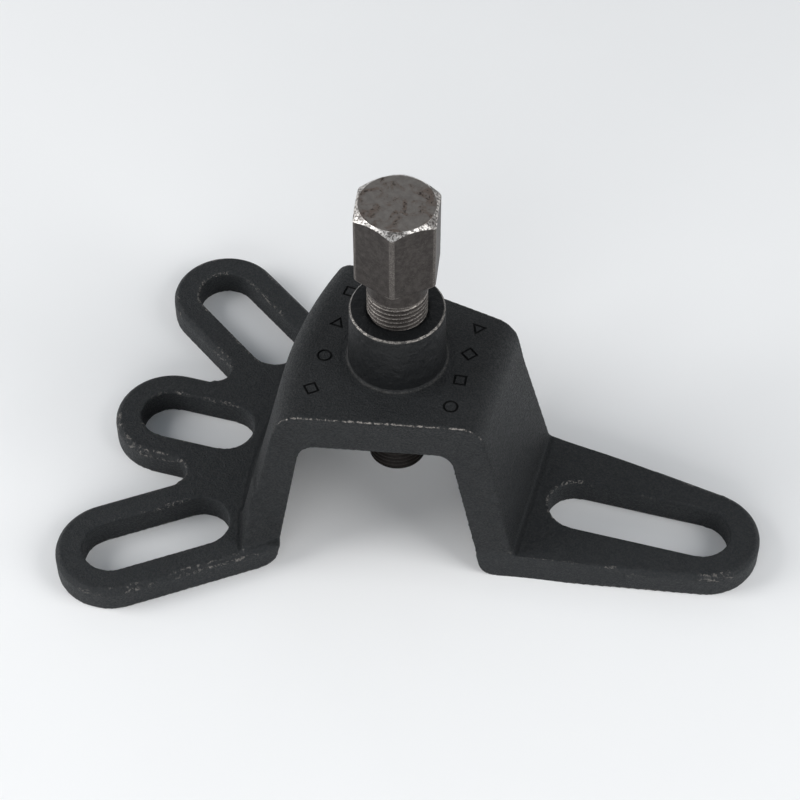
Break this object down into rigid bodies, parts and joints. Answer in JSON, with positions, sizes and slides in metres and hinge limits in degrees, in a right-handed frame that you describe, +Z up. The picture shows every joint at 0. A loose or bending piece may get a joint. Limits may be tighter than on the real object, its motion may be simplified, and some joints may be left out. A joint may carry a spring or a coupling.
{
  "type": "gear puller",
  "caption": "Bridge-type hub puller: slotted feet bolt to the wheel studs and a hex-headed forcing screw in a threaded boss pushes the axle out of the hub.",
  "frame": {"origin": "on the screw axis, level with the underside of the feet", "axes": "+X towards the single arm with the long slot, +Z up along the screw towards the hex head"},
  "size_m": [0.187, 0.1294, 0.112],
  "materials": {
    "yoke": "black oxide on a forged surface, satin",
    "screw": "grey-brown steel, machined bevel bright",
    "ball": "hardened, polished"
  },
  "bodies": {
    "bridge": {"yoke": "yoke"},
    "tip": {"tip_ball": "ball"},
    "screw": {"forcing_screw": "screw"}
  },
  "joints": [
    {"name": "screw_feed", "type": "slide", "parent": "bridge", "child": "tip", "axis": [0, 0, -1], "range_m": [-0.042, 0.008]},
    {"name": "screw_turn", "type": "hinge", "parent": "tip", "child": "screw", "pos_m": [0, 0, 0.05], "axis": [0, 0, -1], "range_deg": [-10100, 1940]}
  ],
  "couplings": [
    {"joint": "screw_turn", "follows": "screw_feed", "rad_per_m": 4188.8}
  ]
}
